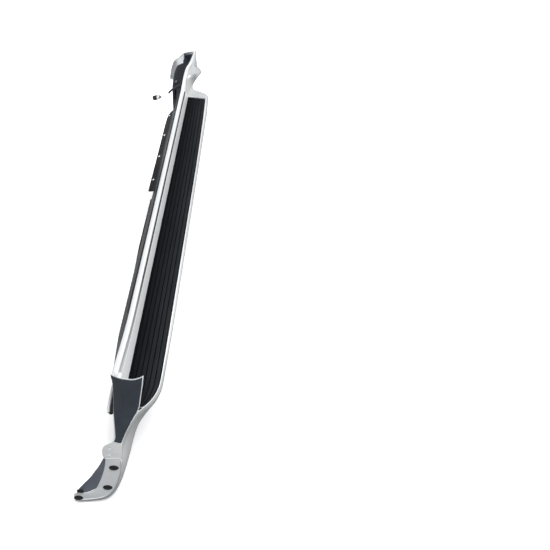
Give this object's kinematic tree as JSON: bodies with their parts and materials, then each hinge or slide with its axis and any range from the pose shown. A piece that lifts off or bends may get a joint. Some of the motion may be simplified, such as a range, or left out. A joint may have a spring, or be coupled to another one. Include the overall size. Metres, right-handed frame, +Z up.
{
  "type": "running board",
  "caption": "Moulded side step with painted shell, ribbed black tread, sill flange, hidden support beam and mudguard end sweeping down to a wheel-arch flange.",
  "frame": {"origin": "centre of the two-hole pattern in the middle support saddle, 39.5 mm under the tread face and 33 mm outward of its inner edge", "axes": "+Y along the board towards its closed end, +X away from the vehicle, +Z up"},
  "size_m": [0.298, 2.0299, 0.232],
  "materials": {
    "paint": "gloss white paint over moulded plastic",
    "pad": "ribbed black grip moulding",
    "panel": "smooth black moulding",
    "cover": "grained black moulding",
    "liner": "unpainted slate-grey inside face",
    "flange": "dark grey moulding",
    "steel": "zinc plated",
    "beam": "mill finish extrusion",
    "saddle": "black e-coat",
    "seal": "extruded rubber",
    "clip": "black nylon",
    "conduit": "corrugated sleeve"
  },
  "bodies": {
    "root": {"outer_shell": "paint", "inner_panel": "panel", "under_cover": "cover", "step_pad": "pad", "sill_flange": "flange", "sill_strip": "flange", "flange_screws": "steel", "sheet_nuts": "steel", "push_pins": "clip", "support_beam": "beam", "saddle_front": "saddle", "saddle_middle": "saddle", "saddle_rear": "saddle", "rivet_nuts": "steel", "beam_isolators": "seal", "cross_ribs": "cover", "ridge_seal": "seal", "arch_plugs": "clip", "arch_liner": "liner", "guard_backing": "liner", "cup_liner": "liner", "cable_tail": "conduit", "cable_plug": "clip", "corner_tab": "flange", "spring_clips": "steel", "pad_retainers": "clip"}
  },
  "joints": []
}
